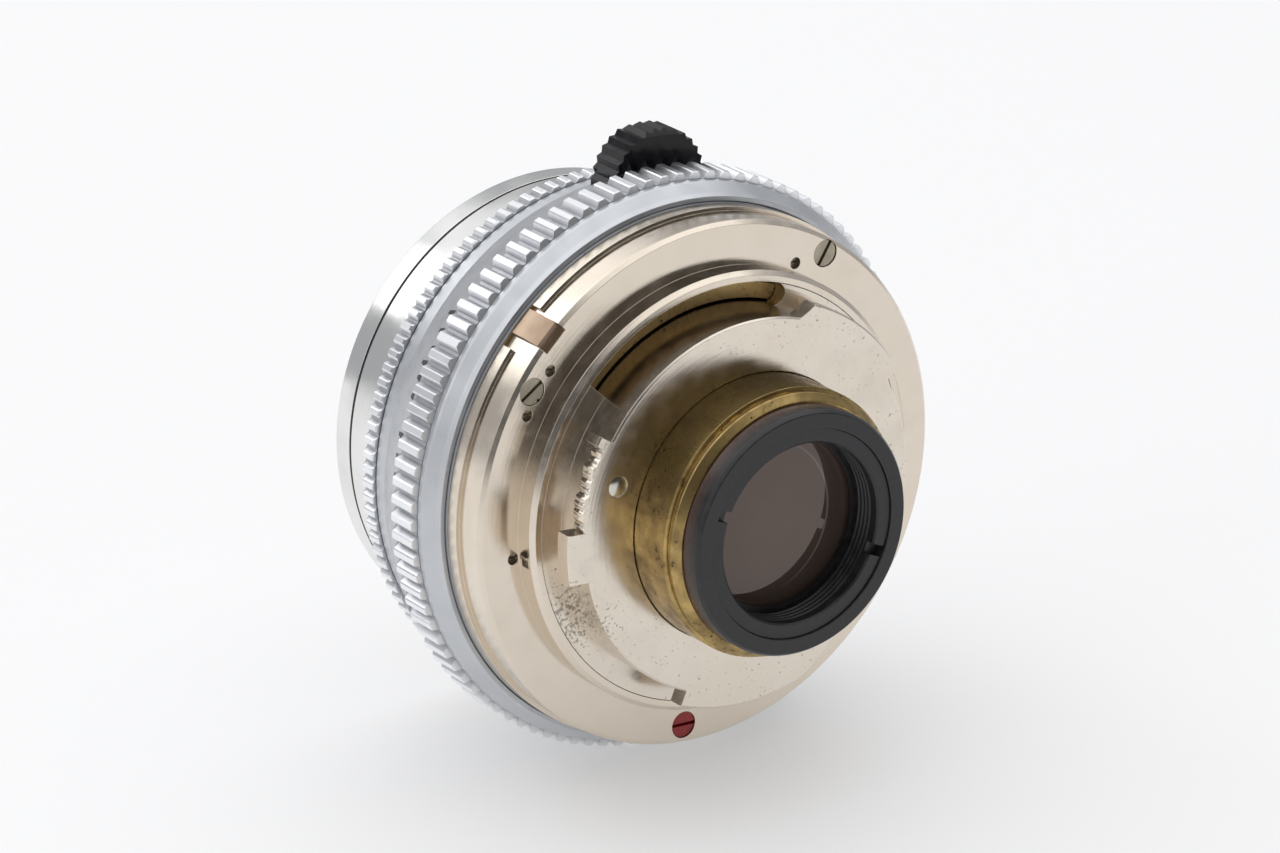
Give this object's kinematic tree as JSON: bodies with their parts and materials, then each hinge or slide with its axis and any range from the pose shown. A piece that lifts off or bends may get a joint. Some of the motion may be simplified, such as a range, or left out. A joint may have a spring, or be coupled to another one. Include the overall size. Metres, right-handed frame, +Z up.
{
  "type": "camera lens",
  "caption": "Small focusing camera lens with a lug bayonet at the rear, toothed focus and aperture rings, finger grips and a chrome front barrel.",
  "frame": {"origin": "on the optical axis, in the rear face of the bayonet flange", "axes": "+Y along the optical axis towards the camera side, -Y towards the subject, +Z up as the lens lies on its side"},
  "size_m": [0.0532, 0.0408, 0.056],
  "materials": {
    "nickel_silver": "satin, turned, worn to a warm grey",
    "satin_aluminium": "satin, bright",
    "chrome_plate": "polished",
    "aged_brass": "turned, aged",
    "bronze_key": "satin",
    "black_anodised": "satin black",
    "black_grip": "glossy, moulded",
    "black_enamel": "gloss enamel",
    "red_paint": "gloss red paint, worn",
    "screw_steel": "turned steel",
    "bright_steel": "ground steel",
    "blade_steel": "blackened steel",
    "coated_glass": "polished, coated"
  },
  "bodies": {
    "mount": {"bayonet_flange": "nickel_silver", "bayonet_lug_ring": "nickel_silver", "lug_plate_pin": "bright_steel", "locating_key": "bronze_key", "flange_shim": "aged_brass", "mount_housing": "satin_aluminium", "flange_screws": "screw_steel", "red_index_screw": "red_paint", "flange_set_screws": "screw_steel", "straight_guide": "bright_steel", "guide_screws": "screw_steel"},
    "focus": {"focus_ring": "satin_aluminium", "rear_bezel": "satin_aluminium", "finger_grip_upper": "black_grip", "finger_grip_lower": "black_grip", "finger_grip_pins": "bright_steel", "focus_stop_pin": "bright_steel"},
    "optics": {"helicoid_carrier": "aged_brass", "index_band": "satin_aluminium", "lens_tube": "aged_brass", "rear_cell": "black_anodised", "rear_retaining_ring": "black_anodised", "rear_glass": "coated_glass", "rear_doublet": "coated_glass", "rear_doublet_mount": "aged_brass", "iris_housing": "black_anodised", "iris_cover": "black_anodised", "iris_screws": "screw_steel", "iris_clamp_ring": "black_anodised", "front_barrel": "chrome_plate", "groove_inlay": "black_enamel", "front_rim": "chrome_plate", "front_cell": "black_anodised", "front_retaining_ring": "black_anodised", "front_glass": "coated_glass", "front_doublet": "coated_glass", "name_ring": "black_anodised"},
    "aperture": {"aperture_ring": "satin_aluminium", "aperture_link": "bright_steel", "iris_drive_ring": "bright_steel"},
    "coupling": {"aperture_coupling_ring": "aged_brass"},
    "blade_1": {"iris_blade_1": "blade_steel"},
    "blade_2": {"iris_blade_2": "blade_steel"},
    "blade_3": {"iris_blade_3": "blade_steel"},
    "blade_4": {"iris_blade_4": "blade_steel"},
    "blade_5": {"iris_blade_5": "blade_steel"}
  },
  "joints": [
    {"name": "focus_turn", "type": "hinge", "parent": "mount", "child": "focus", "pos_m": [0, -0.006, 0], "axis": [0, -1, 0], "range_deg": [0, 180]},
    {"name": "optics_slide", "type": "slide", "parent": "mount", "child": "optics", "axis": [0, -1, 0], "range_m": [0, 0.003]},
    {"name": "aperture_turn", "type": "hinge", "parent": "optics", "child": "aperture", "pos_m": [0, -0.0174, 0], "axis": [0, -1, 0], "range_deg": [0, 50]},
    {"name": "coupling_turn", "type": "hinge", "parent": "mount", "child": "coupling", "pos_m": [0, -0.004, 0], "axis": [0, -1, 0], "range_deg": [0, 50]},
    {"name": "blade_1_turn", "type": "hinge", "parent": "optics", "child": "blade_1", "pos_m": [0.0125, -0.0155, 0], "axis": [0, -1, 0], "range_deg": [0, 30]},
    {"name": "blade_2_turn", "type": "hinge", "parent": "optics", "child": "blade_2", "pos_m": [0.00386, -0.0155, 0.01189], "axis": [0, -1, 0], "range_deg": [0, 30]},
    {"name": "blade_3_turn", "type": "hinge", "parent": "optics", "child": "blade_3", "pos_m": [-0.01011, -0.0155, 0.00735], "axis": [0, -1, 0], "range_deg": [0, 30]},
    {"name": "blade_4_turn", "type": "hinge", "parent": "optics", "child": "blade_4", "pos_m": [-0.01011, -0.0155, -0.00735], "axis": [0, -1, 0], "range_deg": [0, 30]},
    {"name": "blade_5_turn", "type": "hinge", "parent": "optics", "child": "blade_5", "pos_m": [0.00386, -0.0155, -0.01189], "axis": [0, -1, 0], "range_deg": [0, 30]}
  ],
  "couplings": [
    {"joint": "focus_turn", "follows": "optics_slide", "rad_per_m": 1047.2},
    {"joint": "coupling_turn", "follows": "aperture_turn", "ratio": 1},
    {"joint": "blade_1_turn", "follows": "aperture_turn", "ratio": 0.6},
    {"joint": "blade_2_turn", "follows": "aperture_turn", "ratio": 0.6},
    {"joint": "blade_3_turn", "follows": "aperture_turn", "ratio": 0.6},
    {"joint": "blade_4_turn", "follows": "aperture_turn", "ratio": 0.6},
    {"joint": "blade_5_turn", "follows": "aperture_turn", "ratio": 0.6}
  ]
}
